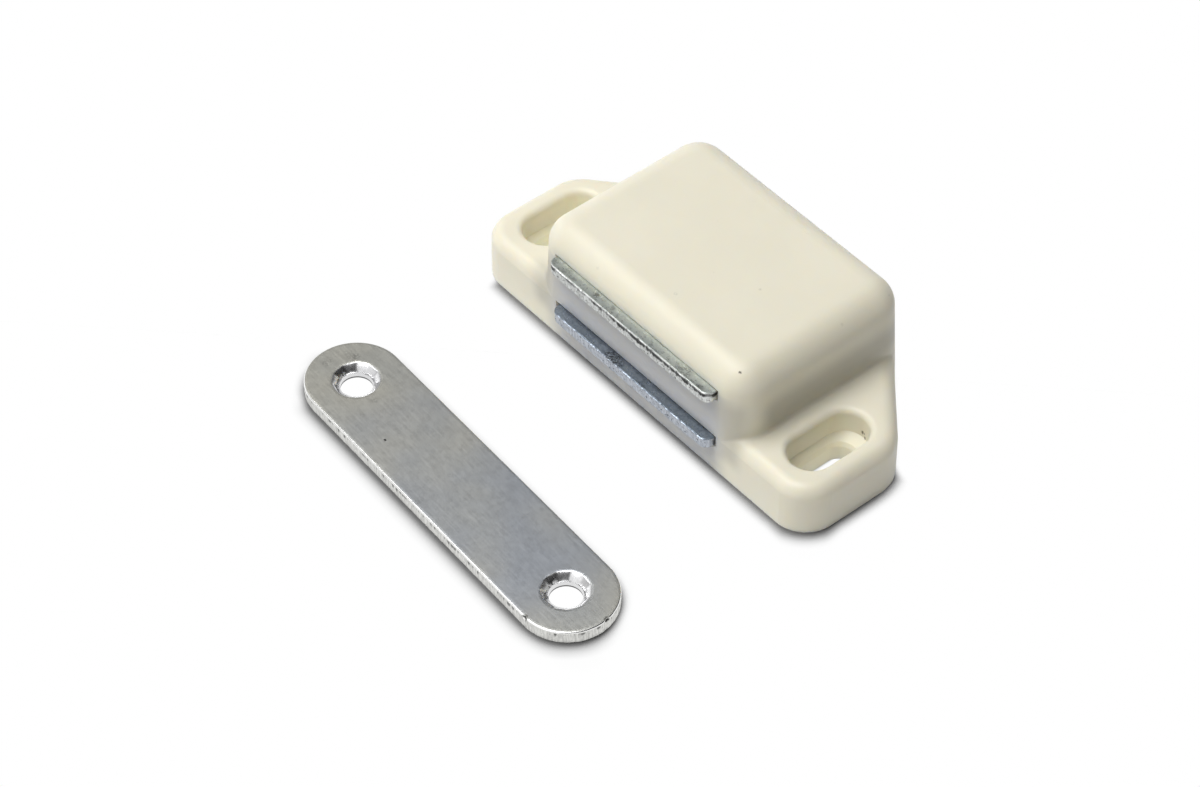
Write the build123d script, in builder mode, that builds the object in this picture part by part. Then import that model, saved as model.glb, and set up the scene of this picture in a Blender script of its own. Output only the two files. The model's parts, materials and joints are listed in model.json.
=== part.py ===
from build123d import *
import os

# Magnetic cabinet catch with its counter plate.
#
# Lengths are in millimetres and angles in degrees. The mounting surface is the plane z = 0 and
# +Z points away from it. X runs along the catch, the pole faces look towards -Y, and the origin
# lies on the mounting surface midway between the two screw slots.
#
# The moulded housing holds a loose pack of one magnet between two steel pole plates. The plates'
# tongues reach out through slots in the front wall, their shoulders keep the pack in, and the
# pack can slide a little so that both poles settle flat on the counter plate. The base cover
# closes the housing from below and backs the pack up.

# --- Magnet pack ---
magnet_length = 28.0
magnet_depth = 15.0
magnet_height = 6.0
magnet_edge_chamfer = 0.3
magnet_setback = 0.5            # magnet behind the shoulders and in front of the plates' rear edge
pole_thickness = 1.5
tongue_width = 27.9
tongue_corner_radius = 1.2
shoulder_width = 1.55           # how far each shoulder stands out beside the tongue
shoulder_corner_radius = 0.8
pole_edge_radius = 0.35         # rolled-over edge round the tongue
pole_reach = 1.3                # tongue standing out of the front face

# --- Clearances ---
travel_out = 0.4                # pack's slide towards the counter plate
travel_in = 0.6                 # pack's slide back into the housing
plate_play = 0.1                # above and below each pole plate
tongue_side_play = 0.35         # beside each tongue in its slot
cover_play = 0.08               # round the base cover in its rebate

# --- Housing walls ---
front_wall = 2.2
side_wall = 2.2
rear_wall = 2.2
roof_thickness = 2.0
roof_rib_height = 1.1           # ribs that guide the upper plate
roof_rib_width = 1.2
roof_rib_pitch = 8.5
roof_rib_count = 4
pack_side_gap = 0.9             # between the shoulders and the side walls
rear_gap = 3.1                  # behind the backstop, room to slide the plates in
front_draft = 0.6
block_draft = 2.4
block_corner_radius = 3.9
block_edge_radius = 3.4
crease_radius = 0.5             # inside corner where the block stands on the base
front_trim = 0.015              # faced off the front wall, so that the crease fillets end cleanly

# --- Base with its two screw ears ---
base_height = 6.7
ear_length = 10.6               # ear beyond the block
ear_depth = 14.6                # straight end edge, measured from the front face
slant_inset = 1.45              # where the slanted rear edge runs into the block's corner
base_draft = front_draft
front_corner_radius = 4.4
ear_corner_radius = 5.3
base_edge_radius = 1.65

# --- Screw slots ---
screw_end_margin = 5.6          # slot centre to the end of the base
slot_setback = 8.85             # slot centre behind the front face
screw_slot_width = 3.7
screw_slot_length = 7.6
head_recess_width = 5.5
head_recess_length = 10.8
recess_rim_radius = 0.8
seat_rim_z = 3.3                # dished seat for the screw's head, where it meets the recess wall
seat_foot_z = 2.4               # and where it meets the slot
slot_edge_chamfer = 0.35

# --- Base cover ---
cover_thickness = 1.8
cover_ledge = 0.8               # rim of the cover that seats in the housing's rebate
cover_corner_radius = 1.6
rest_rib_height = 1.9           # ribs under the lower plate
rest_rib_width = 1.2
rest_rib_pitch = 9.0
rest_rib_count = 3
backstop_width = 22.0
backstop_thickness = 2.0
gusset_count = 3
gusset_pitch = 8.5
gusset_width = 1.4
gusset_rear_gap = 0.6           # between the gussets' feet and the rear wall
snap_bead_radius = 0.4
snap_bead_length = 8.0
snap_play = 0.06

# --- Counter plate ---
strike_length = 53.0
strike_width = 12.0
strike_thickness = 1.65
strike_edge_chamfer = 0.15
strike_hole_spacing = 40.5
strike_hole_radius = 1.95
strike_sink_radius = 2.82
strike_sink_angle = 90
strike_offset = 1.8             # beside the catch's middle, towards -X
strike_distance = 24.6          # its centre line in front of the front face
strike_yaw = -2.45

# --- Heights that follow from the stack ---
lower_plate_z = cover_thickness + rest_rib_height + plate_play
magnet_z = lower_plate_z + pole_thickness
upper_plate_z = magnet_z + magnet_height
pack_top_z = upper_plate_z + pole_thickness
rib_end_z = pack_top_z + plate_play
cavity_top_z = rib_end_z + roof_rib_height
block_height = cavity_top_z + roof_thickness

# --- Plan sizes that follow from the pack and the walls ---
plate_body_width = tongue_width + 2 * shoulder_width
plate_body_depth = magnet_depth + 2 * magnet_setback
cavity_length = plate_body_width + 2 * pack_side_gap
cavity_depth = travel_out + plate_body_depth + travel_in + backstop_thickness + rear_gap
block_length = cavity_length + 2 * side_wall
block_depth = front_wall + cavity_depth + rear_wall
base_length = block_length + 2 * ear_length
screw_x = base_length / 2 - screw_end_margin

front_y = -slot_setback
cavity_front_y = front_y + front_wall
cavity_rear_y = cavity_front_y + cavity_depth
block_rear_y = front_y + block_depth
ear_rear_y = front_y + ear_depth
shoulder_y = cavity_front_y + travel_out
tongue_tip_y = front_y - pole_reach
plate_rear_y = shoulder_y + plate_body_depth
backstop_y = plate_rear_y + travel_in
gusset_foot_y = cavity_rear_y - gusset_rear_gap

slot_height = pole_thickness + 2 * plate_play
slot_width = tongue_width + 2 * tongue_side_play
cavity_corner_radius = block_corner_radius - side_wall
rebate_length = cavity_length + 2 * cover_ledge
rebate_depth = cavity_depth + 2 * cover_ledge
cavity_middle_y = (cavity_front_y + cavity_rear_y) / 2


def upright_edges(part):
    """Edges that run mostly along Z."""
    return part.edges().filter_by(lambda edge: abs(edge.tangent_at(0.5).Z) > 0.9)


def walls_facing(part, x=0, y=0):
    """Flat faces whose outward normal points mostly along the given plan direction."""
    return part.faces().filter_by(lambda face: face.normal_at().dot(Vector(x, y, 0)) > 0.9)


def edges_at_height(part, height):
    """Edges that lie flat at the given height."""
    return part.edges().filter_by_position(Axis.Z, height - 0.01, height + 0.01)


def foot_lines(part):
    """Straight edges along Y where the block's end walls stand on the base."""
    at_base_top = part.edges().filter_by(Axis.Y).group_by(lambda edge: round(edge.center().Z, 3))
    level = [group for group in at_base_top if abs(group[0].center().Z - base_height) < 0.01][0]
    return level.sort_by(lambda edge: abs(edge.center().X))[:2]


# --- Screw slot: through slot, dished seat and head recess, one body to cut from each ear ---
with BuildPart() as screw_slot:
    with BuildSketch():
        SlotOverall(screw_slot_length, screw_slot_width, rotation=90)
    extrude(amount=seat_foot_z)
    with BuildSketch(Plane.XY.offset(seat_foot_z)):
        SlotOverall(screw_slot_length, screw_slot_width, rotation=90)
    with BuildSketch(Plane.XY.offset(seat_rim_z)):
        SlotOverall(head_recess_length, head_recess_width, rotation=90)
    loft()
    with BuildSketch(Plane.XY.offset(seat_rim_z)):
        SlotOverall(head_recess_length, head_recess_width, rotation=90)
    extrude(amount=base_height)

# --- Base: foot outline with two ears and slanted rear edges, one screw slot in each ear ---
with BuildPart() as base:
    with BuildSketch() as foot:
        with BuildLine():
            Polyline(
                (-base_length / 2, front_y),
                (base_length / 2, front_y),
                (base_length / 2, ear_rear_y),
                (block_length / 2 - slant_inset, block_rear_y - slant_inset),
                (slant_inset - block_length / 2, block_rear_y - slant_inset),
                (-base_length / 2, ear_rear_y),
                close=True,
            )
        make_face()
        fillet(foot.vertices().group_by(Axis.Y)[1], ear_corner_radius)
        fillet(foot.vertices().group_by(Axis.Y)[0], front_corner_radius)
    extrude(amount=base_height, taper=base_draft)
    fillet(base.faces().sort_by(Axis.Z)[-1].edges(), base_edge_radius)
    with Locations((-screw_x, 0), (screw_x, 0)):
        add(screw_slot.part, mode=Mode.SUBTRACT)
    rims = base.faces().sort_by(Axis.Z)[-1].inner_wires()
    fillet([edge for rim in rims for edge in rim.edges()], recess_rim_radius)
    chamfer(edges_at_height(base, seat_foot_z), slot_edge_chamfer)

# --- Block: the raised box that holds the pack, with drafted and well rounded walls ---
with BuildPart() as block:
    with BuildSketch():
        with Locations((0, front_y)):
            Rectangle(block_length, block_depth, align=(Align.CENTER, Align.MIN))
    extrude(amount=block_height)
    draft(walls_facing(block, y=-1), Plane.XY, front_draft)
    draft(walls_facing(block, x=1) + walls_facing(block, x=-1), Plane.XY, block_draft)
    draft(walls_facing(block, y=1), Plane.XY, block_draft)
    fillet(upright_edges(block), block_corner_radius)
    fillet(block.faces().sort_by(Axis.Z)[-1].edges(), block_edge_radius)

# --- Cavity: open below, its front face upright so that the shoulders stop on it squarely ---
with BuildPart() as cavity:
    with BuildSketch():
        with Locations((0, cavity_front_y)):
            Rectangle(cavity_length, cavity_depth, align=(Align.CENTER, Align.MIN))
    extrude(amount=cavity_top_z)
    draft(walls_facing(cavity, x=1) + walls_facing(cavity, x=-1), Plane.XY, block_draft)
    draft(walls_facing(cavity, y=1), Plane.XY, block_draft)
    fillet(upright_edges(cavity).group_by(Axis.Y)[-1], cavity_corner_radius)

# --- Housing ---
trim_plane = Plane(
    origin=(0, front_y + front_trim, 0),
    x_dir=(1, 0, 0),
    z_dir=Vector(0, -1, 0).rotate(Axis.X, -front_draft),
)
with BuildPart() as housing:
    add(base.part)
    add(block.part)
    fillet(foot_lines(housing), crease_radius)
    split(bisect_by=trim_plane, keep=Keep.BOTTOM)
    add(cavity.part, mode=Mode.SUBTRACT)
    # Guide ribs under the roof, from the front wall back to behind the plates
    with BuildSketch(Plane.XY.offset(rib_end_z)):
        with Locations((0, cavity_front_y)):
            with GridLocations(roof_rib_pitch, 1, roof_rib_count, 1):
                Rectangle(
                    roof_rib_width,
                    plate_rear_y - cavity_front_y,
                    align=(Align.CENTER, Align.MIN),
                )
    extrude(amount=roof_rib_height + roof_thickness / 2)
    # Slots in the front wall for the two tongues
    for plate_z in (lower_plate_z, upper_plate_z):
        with BuildSketch(Plane.XY.offset(plate_z - plate_play)):
            with Locations((0, cavity_front_y)):
                Rectangle(slot_width, 2 * front_wall, align=(Align.CENTER, Align.MAX))
        extrude(amount=slot_height, mode=Mode.SUBTRACT)
    # Rebate for the base cover, with a groove for the snap bead at each end
    with BuildSketch():
        with Locations((0, cavity_middle_y)):
            RectangleRounded(rebate_length, rebate_depth, cover_corner_radius)
    extrude(amount=cover_thickness, mode=Mode.SUBTRACT)
    with Locations(Location((0, cavity_middle_y, cover_thickness / 2), (90, 0, 0))):
        with GridLocations(rebate_length, 1, 2, 1):
            Cylinder(
                snap_bead_radius + snap_play,
                snap_bead_length + 2 * cover_play,
                mode=Mode.SUBTRACT,
            )

# --- Pole plates: a shouldered blank, its tongue through the front wall ---
pole_plates = {}
for name, plate_z in (("lower_pole_plate", lower_plate_z), ("upper_pole_plate", upper_plate_z)):
    with BuildPart() as pole_plate:
        with BuildSketch(Plane.XY.offset(plate_z)) as blank:
            with Locations((0, tongue_tip_y)):
                Rectangle(
                    tongue_width,
                    plate_rear_y - tongue_tip_y,
                    align=(Align.CENTER, Align.MIN),
                )
            fillet(blank.vertices().group_by(Axis.Y)[0], tongue_corner_radius)
            with Locations((0, shoulder_y)):
                RectangleRounded(
                    plate_body_width,
                    plate_body_depth,
                    shoulder_corner_radius,
                    align=(Align.CENTER, Align.MIN),
                )
        extrude(amount=pole_thickness)
        rim = pole_plate.faces().sort_by(Axis.Z)[-1].edges()
        fillet(rim.filter_by(lambda edge: edge.center().Y < shoulder_y), pole_edge_radius)
    pole_plates[name] = pole_plate

# --- Magnet: sintered block between the plates ---
with BuildPart() as magnet:
    with BuildSketch(Plane.XY.offset(magnet_z)):
        with Locations((0, shoulder_y + magnet_setback)):
            Rectangle(magnet_length, magnet_depth, align=(Align.CENTER, Align.MIN))
    extrude(amount=magnet_height)
    chamfer(magnet.edges(), magnet_edge_chamfer)

# --- Base cover: snaps in flush with the mounting surface and backs the pack up ---
with BuildPart() as base_cover:
    with BuildSketch():
        with Locations((0, cavity_middle_y)):
            RectangleRounded(
                rebate_length - 2 * cover_play,
                rebate_depth - 2 * cover_play,
                cover_corner_radius - cover_play,
            )
    extrude(amount=cover_thickness)
    # Ribs that the lower plate rides on
    with BuildSketch(Plane.XY.offset(cover_thickness)):
        with Locations((0, shoulder_y)):
            with GridLocations(rest_rib_pitch, 1, rest_rib_count, 1):
                Rectangle(
                    rest_rib_width,
                    plate_body_depth,
                    align=(Align.CENTER, Align.MIN),
                )
    extrude(amount=rest_rib_height)
    # Backstop behind the plates
    with BuildSketch(Plane.XY.offset(cover_thickness)):
        with Locations((0, backstop_y)):
            Rectangle(backstop_width, backstop_thickness, align=(Align.CENTER, Align.MIN))
    extrude(amount=pack_top_z - cover_thickness)
    # Gussets that stiffen the backstop from behind
    for place in range(gusset_count):
        gusset_x = (place - (gusset_count - 1) / 2) * gusset_pitch
        with BuildSketch(Plane.YZ.offset(gusset_x)):
            with BuildLine():
                Polyline(
                    (backstop_y + backstop_thickness, cover_thickness),
                    (gusset_foot_y, cover_thickness),
                    (backstop_y + backstop_thickness, upper_plate_z),
                    close=True,
                )
            make_face()
        extrude(amount=gusset_width / 2, both=True)
    # Snap beads along both short edges
    with Locations(Location((0, cavity_middle_y, cover_thickness / 2), (90, 0, 0))):
        with GridLocations(rebate_length - 2 * cover_play, 1, 2, 1):
            Cylinder(snap_bead_radius, snap_bead_length)

# --- Counter plate: flat rounded strip with two countersunk holes, lying in front of the catch ---
strike_plane = Plane(
    origin=(-strike_offset, front_y - strike_distance, 0),
    x_dir=Vector(1, 0, 0).rotate(Axis.Z, strike_yaw),
    z_dir=(0, 0, 1),
)
with BuildPart() as strike_plate:
    with BuildSketch(strike_plane):
        SlotOverall(strike_length, strike_width)
    extrude(amount=strike_thickness)
    chamfer(strike_plate.faces().sort_by(Axis.Z)[-1].edges(), strike_edge_chamfer)
    with Locations(strike_plane.offset(strike_thickness)):
        with GridLocations(strike_hole_spacing, 1, 2, 1):
            CounterSinkHole(
                strike_hole_radius,
                strike_sink_radius,
                counter_sink_angle=strike_sink_angle,
            )

# --- Write one file per piece ---
pieces = {
    "housing": housing,
    "base_cover": base_cover,
    **pole_plates,
    "magnet": magnet,
    "strike_plate": strike_plate,
}
os.makedirs("parts", exist_ok=True)
for name, piece in pieces.items():
    piece.part.label = name
    export_step(piece.part, f"parts/{name}.step")
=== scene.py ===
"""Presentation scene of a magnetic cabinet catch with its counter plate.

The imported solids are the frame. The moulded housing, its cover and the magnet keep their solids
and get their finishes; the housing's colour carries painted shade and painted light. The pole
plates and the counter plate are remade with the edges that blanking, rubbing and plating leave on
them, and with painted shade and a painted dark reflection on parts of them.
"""

import json
import logging
import math
from dataclasses import dataclass, field
from enum import IntEnum
from typing import Callable, Iterable, Sequence

import bmesh
import bpy
from mathutils import Matrix, Vector, noise

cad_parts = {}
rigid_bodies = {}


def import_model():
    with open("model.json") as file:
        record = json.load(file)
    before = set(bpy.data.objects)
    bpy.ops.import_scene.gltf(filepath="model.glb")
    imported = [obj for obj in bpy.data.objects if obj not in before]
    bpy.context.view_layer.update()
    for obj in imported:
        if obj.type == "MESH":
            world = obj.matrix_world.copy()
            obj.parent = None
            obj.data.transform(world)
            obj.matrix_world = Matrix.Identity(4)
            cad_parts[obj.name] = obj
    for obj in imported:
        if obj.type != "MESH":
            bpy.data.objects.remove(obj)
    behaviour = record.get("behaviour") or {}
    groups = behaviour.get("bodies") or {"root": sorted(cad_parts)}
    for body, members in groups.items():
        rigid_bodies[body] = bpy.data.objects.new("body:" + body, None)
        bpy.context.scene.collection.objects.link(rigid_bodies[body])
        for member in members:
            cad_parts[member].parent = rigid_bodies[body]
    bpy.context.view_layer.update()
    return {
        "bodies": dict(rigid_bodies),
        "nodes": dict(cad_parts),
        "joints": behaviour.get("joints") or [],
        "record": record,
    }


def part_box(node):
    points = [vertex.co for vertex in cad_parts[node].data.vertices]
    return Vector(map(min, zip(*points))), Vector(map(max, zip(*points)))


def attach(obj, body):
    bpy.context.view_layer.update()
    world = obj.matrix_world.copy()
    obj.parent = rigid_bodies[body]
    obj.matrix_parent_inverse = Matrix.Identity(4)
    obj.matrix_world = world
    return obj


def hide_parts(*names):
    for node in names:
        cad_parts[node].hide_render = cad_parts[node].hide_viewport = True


log = logging.getLogger("catch")
MM = 0.001
Colour = tuple[float, float, float]
Box = tuple[Vector, Vector]
Marks = tuple[tuple[Vector, float, float], ...]
Socket = bpy.types.NodeSocket
Rim = list[bmesh.types.BMVert]
WHITE = (1.0, 1.0, 1.0)


def scaled(colour: Colour, share: float) -> Colour:
    """Return a colour made darker or lighter by a share."""
    return tuple(share * channel for channel in colour)


def marks_from(corner: Vector, spots: Sequence[tuple[float, float, float, float, float]]) -> Marks:
    """Place round marks from a corner of a box.

    Args:
        corner: The corner, in metres.
        spots: (x, y, z, radius, strength) of each, lengths in millimetres from the corner.

    Returns:
        (centre, radius, strength) of each in the frame.
    """
    return tuple((corner + Vector(spot[:3]) * MM, spot[3] * MM, spot[4]) for spot in spots)


# --- Shader building ---


class Graph:
    """Shader nodes of one material or world, added and linked by short calls."""

    def __init__(self, tree: bpy.types.NodeTree) -> None:
        """Start from an empty tree.

        Args:
            tree: The node tree to fill.
        """
        self.tree = tree
        tree.nodes.clear()

    def node(self, kind: str, inputs: dict | None = None, **settings: object) -> bpy.types.Node:
        """Add a node.

        Args:
            kind: Blender's node type.
            inputs: Socket name or index to a constant or an output socket.
            **settings: Node properties such as operation or noise_dimensions.

        Returns:
            The new node.
        """
        made = self.tree.nodes.new(kind)
        for name, value in settings.items():
            setattr(made, name, value)
        for key, value in (inputs or {}).items():
            socket = made.inputs[key]
            if isinstance(value, Socket):
                self.tree.links.new(value, socket)
            else:
                socket.default_value = value
        return made

    def place(self) -> Socket:
        """Return the surface point in the object's own space, in metres."""
        return self.node("ShaderNodeTexCoord").outputs["Object"]

    def height(self, where: Socket) -> Socket:
        """Return the Z of a point."""
        return self.node("ShaderNodeSeparateXYZ", {0: where}).outputs["Z"]

    def along(self, where: Socket, direction: Sequence[float]) -> Socket:
        """Return how far a point lies along a direction.

        Args:
            where: The point.
            direction: Unit direction.

        Returns:
            The distance, or the cosine where the point is a unit direction itself.
        """
        inputs = {0: where, 1: tuple(direction)}
        return self.node("ShaderNodeVectorMath", inputs, operation="DOT_PRODUCT").outputs["Value"]

    def maths(self, operation: str, *values: object, clamp: bool = False) -> Socket:
        """Add a Math node.

        Args:
            operation: Blender's name of the operation.
            *values: One to three numbers or sockets.
            clamp: Whether the result is held to 0 to 1.

        Returns:
            The result socket.
        """
        made = self.node("ShaderNodeMath", dict(enumerate(values)), operation=operation)
        made.use_clamp = clamp
        return made.outputs[0]

    def noise(self, where: Socket, scale: float, detail: float = 4.0, rough: float = 0.5) -> Socket:
        """Add a 3-D noise texture.

        Args:
            where: The point to sample.
            scale: Features per metre.
            detail: Octaves.
            rough: How strong the fine octaves are.

        Returns:
            The noise value, 0 to 1.
        """
        inputs = {"Vector": where, "Scale": scale, "Detail": detail, "Roughness": rough}
        return self.node("ShaderNodeTexNoise", inputs).outputs[0]

    def grain(self, where: Socket, scale: Sequence[float], detail: float, rough: float) -> Socket:
        """Add a noise that is stretched one way.

        Args:
            where: The point to sample.
            scale: Features per metre along X, Y and Z.
            detail: Octaves.
            rough: How strong the fine octaves are.

        Returns:
            The noise value, 0 to 1.
        """
        stretched = self.node("ShaderNodeMapping", {"Vector": where, "Scale": scale}).outputs[0]
        return self.noise(stretched, 1.0, detail, rough)

    def between(
        self, value: Socket, low: float, high: float, to_low: float = 0.0, to_high: float = 1.0
    ) -> Socket:
        """Map a range onto another with smooth ends, clamped.

        Args:
            value: What is mapped.
            low: Value that gives to_low.
            high: Value that gives to_high.
            to_low: Result at low.
            to_high: Result at high.

        Returns:
            The mapped value.
        """
        inputs = {"Value": value, 1: low, 2: high, 3: to_low, 4: to_high}
        return self.node("ShaderNodeMapRange", inputs, interpolation_type="SMOOTHSTEP").outputs[0]

    def mix(self, amount: object, first: object, second: object) -> Socket:
        """Mix two colours.

        Args:
            amount: Share of the second, a number or a socket.
            first: Colour or socket.
            second: Colour or socket.

        Returns:
            The mixed colour.
        """
        opaque = [c if isinstance(c, Socket) else (*c, 1.0) for c in (first, second)]
        inputs = {0: amount, 6: opaque[0], 7: opaque[1]}
        return self.node("ShaderNodeMix", inputs, data_type="RGBA").outputs[2]

    def bump(
        self, height: Socket, strength: float, depth: float, normal: Socket | None = None
    ) -> Socket:
        """Add a Bump node.

        Args:
            height: Height, 0 to 1.
            strength: Share of the full effect.
            depth: Depth in metres that height 1 stands for.
            normal: An earlier bump to build on.

        Returns:
            The bent normal.
        """
        inputs = {"Height": height, "Strength": strength, "Distance": depth}
        if normal is not None:
            inputs["Normal"] = normal
        return self.node("ShaderNodeBump", inputs).outputs[0]

    def near(self, where: Socket, spot: Vector, radius: float, core: float = 0.45) -> Socket:
        """Return 1 near a spot and 0 beyond its radius.

        Args:
            where: The surface point.
            spot: The spot's centre in metres.
            radius: Where the mark ends, in metres.
            core: Share of the radius within which it is full.

        Returns:
            The mask.
        """
        gap = self.node("ShaderNodeVectorMath", {0: where, 1: tuple(spot)}, operation="DISTANCE")
        return self.between(gap.outputs["Value"], core * radius, radius, 1.0, 0.0)

    def inside(self, where: Socket, low: Vector, high: Vector, soft: Sequence[float]) -> Socket:
        """Return 1 inside a box and 0 outside it.

        Args:
            where: The surface point.
            low: The box's lowest corner in metres.
            high: The box's highest corner in metres.
            soft: Half width of the fade along each axis.

        Returns:
            The mask.
        """
        axes = self.node("ShaderNodeSeparateXYZ", {0: where}).outputs
        mask = None
        for value, start, stop, fade in zip(axes, low, high, soft):
            rise = self.between(value, start - fade, start + fade)
            fall = self.between(value, stop - fade, stop + fade, 1.0, 0.0)
            both = self.maths("MULTIPLY", rise, fall)
            mask = both if mask is None else self.maths("MULTIPLY", mask, both)
        return mask

    def spots(self, where: Socket, colour: Socket, marks: Marks, tone: Colour) -> Socket:
        """Lay small ragged marks over a colour.

        Args:
            where: The surface point.
            colour: The colour under the marks.
            marks: (centre, radius, strength) of each mark.
            tone: Colour of the marks.

        Returns:
            The marked colour.
        """
        for spot, radius, strength in marks:
            ragged = self.between(self.noise(where, 4200.0, 3.0), 0.38, 0.56)
            mask = self.maths("MULTIPLY", self.near(where, spot, radius), ragged)
            colour = self.mix(self.maths("MULTIPLY", mask, strength), colour, tone)
        return colour

    def apply_wear_and_shade(self, colour: Socket, rough: Socket, dirt: Colour) -> tuple[Socket, Socket]:
        """Darken where wear_and_shade is above 0 and polish where it is below 0.

        Args:
            colour: Base colour.
            rough: Roughness.
            dirt: Colour of the residue, which the painted shade and painted dark reflection also take.

        Returns:
            The colour and the roughness.
        """
        wear_and_shade = self.node("ShaderNodeAttribute", attribute_name="wear_and_shade").outputs["Fac"]
        polish = self.between(wear_and_shade, -1.0, -0.1, 1.0, 0.0)
        # Above 0 this is real dirt on torn edges and specks, painted shade at the plates' walls and bore
        # feet, and a painted dark reflection behind the upper rolled edge.
        colour = self.mix(self.between(wear_and_shade, 0.05, 0.8, 0.0, 0.95), colour, dirt)
        colour = self.mix(polish, colour, (0.96, 0.96, 0.95))
        return colour, self.maths("MULTIPLY", rough, self.between(wear_and_shade, -1.0, -0.1, 0.45, 1.0))

    def surface(self, colour: Socket, rough: Socket, normal: Socket, more: dict) -> None:
        """Close a material with its shader.

        Args:
            colour: Base colour.
            rough: Roughness.
            normal: Bent normal.
            more: Further inputs by name.
        """
        inputs = {"Base Color": colour, "Roughness": rough, "Normal": normal} | more
        shader = self.node("ShaderNodeBsdfPrincipled", inputs)
        self.node("ShaderNodeOutputMaterial", {"Surface": shader.outputs[0]})


def new_material(name: str) -> tuple[bpy.types.Material, Graph]:
    """Make an empty node material.

    Args:
        name: The material's name.

    Returns:
        The material and its graph.
    """
    material = bpy.data.materials.new(name)
    material.use_nodes = True
    return material, Graph(material.node_tree)


# --- Finishes ---


@dataclass(frozen=True)
class MouldedPlastic:
    """Satin thermoplastic straight from the mould.

    Attributes:
        name: Material name.
        colour: Main colour, linear.
        tint: Slightly different colour in broad soft patches.
        roughness: Mean roughness.
        marks: (centre, radius, strength) of small dark scuffs, in metres.
        painted_plate_shade: Box of painted shade between and under the pole plates, in metres.
        painted_shade_boxes: Boxes of painted shade on the block, in metres.
        painted_light_boxes: (low, high, share) of boxes of painted light in the screw recesses, in metres.
        scuff: Colour of the scuffs.
        plate_shade_greys: Light and heavy grey of that painted shade.
        painted_shade_tone: Colour that the painted shade boxes lean to.
        painted_light_tone: Colour that the painted light leans to.
        depth: How deep light goes into the plastic.
    """

    name: str
    colour: Colour
    tint: Colour
    roughness: float = 0.42
    marks: Marks = ()
    painted_plate_shade: Box | None = None
    painted_shade_boxes: tuple[Box, ...] = ()
    painted_light_boxes: tuple[tuple[Vector, Vector, float], ...] = ()
    scuff: Colour = (0.08, 0.07, 0.04)
    plate_shade_greys: tuple[Colour, Colour] = ((0.60, 0.605, 0.615), (0.46, 0.465, 0.475))
    painted_shade_tone: Colour = (0.40, 0.385, 0.33)
    painted_light_tone: Colour = (0.91, 0.88, 0.71)
    depth: float = 1.4 * MM

    def zones(self, g: Graph, where: Socket, colour: Socket) -> Socket:
        """Lay the painted light of the recesses and the painted shade boxes over a colour.

        Args:
            g: The graph to build in.
            where: The surface point.
            colour: The colour under them.

        Returns:
            The colour with its zones.
        """
        # Painted light in the screw recesses, as light through their thin walls.
        for low, high, share in self.painted_light_boxes:
            light = g.maths("MULTIPLY", g.inside(where, low, high, (0.7 * MM,) * 3), share)
            colour = g.mix(light, colour, self.painted_light_tone)
        # Painted shade on the block's front, left corner and right end.
        for box in self.painted_shade_boxes:
            dull = g.maths("MULTIPLY", g.inside(where, *box, (1.3 * MM,) * 3), 0.5)
            colour = g.mix(dull, colour, self.painted_shade_tone)
        return colour

    def paint_plate_shade(self, g: Graph, where: Socket, colour: Socket) -> Socket:
        """Lay the painted shade between and under the pole plates over a colour, heaviest at its top, around
        and just under the upper plate, and at its foot, under the lower plate.

        Args:
            g: The graph to build in.
            where: The surface point.
            colour: The colour under it.

        Returns:
            The greyed colour.
        """
        smear = g.between(g.grain(where, (400.0, 400.0, 1500.0), 4.0, 0.5), 0.3, 0.7, 0.80, 1.0)
        zone = g.maths("MULTIPLY", g.inside(where, *self.painted_plate_shade, (2.0 * MM, 0.5 * MM, 0.4 * MM)), smear)
        height = g.height(where)
        top = self.painted_plate_shade[1].z
        # Painted shade: heaviest at the top, around and just under the upper plate, and at the foot, under
        # the lower plate.
        upper = g.between(height, top - 6.5 * MM, top - 1.5 * MM)
        foot = g.between(height, top - 9.6 * MM, top - 8.0 * MM, 1.0, 0.0)
        return g.mix(zone, colour, g.mix(g.maths("MAXIMUM", upper, foot), *self.plate_shade_greys))

    def material(self) -> bpy.types.Material:
        """Build the material."""
        made, g = new_material(self.name)
        where = g.place()
        patches = g.between(g.noise(where, 90.0, 3.0), 0.35, 0.7)
        colour = g.mix(patches, self.colour, self.tint)
        dust = g.between(g.noise(where, 2600.0, 2.0, 0.6), 0.74, 0.80)
        colour = g.mix(g.maths("MULTIPLY", dust, 0.25), colour, scaled(self.colour, 0.6))
        colour = self.zones(g, where, colour)
        if self.painted_plate_shade:
            colour = self.paint_plate_shade(g, where, colour)
        colour = g.spots(where, colour, self.marks, self.scuff)
        grain = g.noise(where, 5200.0, 5.0, 0.65)
        rough = g.between(grain, 0.3, 0.7, self.roughness - 0.05, self.roughness + 0.07)
        normal = g.bump(g.noise(where, 260.0, 2.0), 0.35, 0.06 * MM)
        normal = g.bump(grain, 0.22, 0.015 * MM, normal)
        body = {
            "IOR": 1.5,
            "Subsurface Weight": 0.7,
            "Subsurface Radius": (1.0, 0.85, 0.6),
            "Subsurface Scale": self.depth,
        }
        g.surface(colour, rough, normal, body)
        return made


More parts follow.
